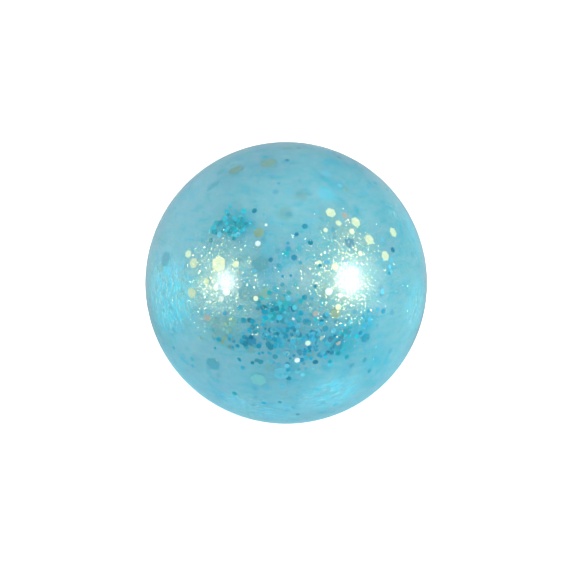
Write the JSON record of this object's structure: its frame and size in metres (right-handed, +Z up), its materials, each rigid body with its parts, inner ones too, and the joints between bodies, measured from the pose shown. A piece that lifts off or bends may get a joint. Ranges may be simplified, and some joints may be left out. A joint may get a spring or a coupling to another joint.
{
  "type": "squishy ball",
  "caption": "Round clear-blue squeeze ball: a soft rubber skin with a plugged fill port, full of gel with hexagonal glitter, that flattens when pressed and springs back.",
  "frame": {"origin": "middle of the flat foot that the soft ball settles on", "axes": "+Z up through the ball's middle, -Y towards the front of the picture"},
  "size_m": [0.065, 0.065, 0.064],
  "materials": {
    "clear_rubber": "glossy, clear light blue, soft to the touch",
    "plug_rubber": "satin",
    "cured_adhesive": "glossy, clear, cured in place",
    "blue_gel": "clear light-blue gel",
    "iridescent_film": "iridescent film, blue to teal with pale gold glints"
  },
  "bodies": {
    "skin": {"skin": "clear_rubber", "fill_plug": "plug_rubber", "plug_seal": "cured_adhesive"},
    "gel": {"gel": "blue_gel"},
    "glitter": {"large_flake_01": "iridescent_film", "large_flake_02": "iridescent_film", "large_flake_03": "iridescent_film", "large_flake_04": "iridescent_film", "large_flake_05": "iridescent_film", "large_flake_06": "iridescent_film", "large_flake_07": "iridescent_film", "large_flake_08": "iridescent_film", "large_flake_09": "iridescent_film", "large_flake_10": "iridescent_film", "large_flake_11": "iridescent_film", "large_flake_12": "iridescent_film", "large_flake_13": "iridescent_film", "large_flake_14": "iridescent_film", "medium_flake_01": "iridescent_film", "medium_flake_02": "iridescent_film", "medium_flake_03": "iridescent_film", "medium_flake_04": "iridescent_film", "medium_flake_05": "iridescent_film", "medium_flake_06": "iridescent_film", "medium_flake_07": "iridescent_film", "medium_flake_08": "iridescent_film", "medium_flake_09": "iridescent_film", "medium_flake_10": "iridescent_film", "medium_flake_11": "iridescent_film", "medium_flake_12": "iridescent_film", "medium_flake_13": "iridescent_film", "medium_flake_14": "iridescent_film", "medium_flake_15": "iridescent_film", "medium_flake_16": "iridescent_film", "medium_flake_17": "iridescent_film", "medium_flake_18": "iridescent_film", "medium_flake_19": "iridescent_film", "medium_flake_20": "iridescent_film", "medium_flake_21": "iridescent_film", "medium_flake_22": "iridescent_film", "medium_flake_23": "iridescent_film", "medium_flake_24": "iridescent_film", "medium_flake_25": "iridescent_film", "medium_flake_26": "iridescent_film", "medium_flake_27": "iridescent_film", "medium_flake_28": "iridescent_film", "medium_flake_29": "iridescent_film", "medium_flake_30": "iridescent_film", "medium_flake_31": "iridescent_film", "medium_flake_32": "iridescent_film", "medium_flake_33": "iridescent_film", "medium_flake_34": "iridescent_film", "medium_flake_35": "iridescent_film", "medium_flake_36": "iridescent_film"}
  },
  "joints": [
    {"name": "squeeze", "type": "slide", "parent": "skin", "child": "gel", "axis": [0, 0, -1], "range_m": [0, 0.0126], "stiffness_N_per_m": 3000, "springref_m": -0.001, "deforming": ["skin", "gel"]},
    {"name": "glitter_swirl", "type": "hinge", "parent": "gel", "child": "glitter", "pos_m": [0, 0, 0.0315], "axis": [0, 0, 1], "continuous": true}
  ]
}
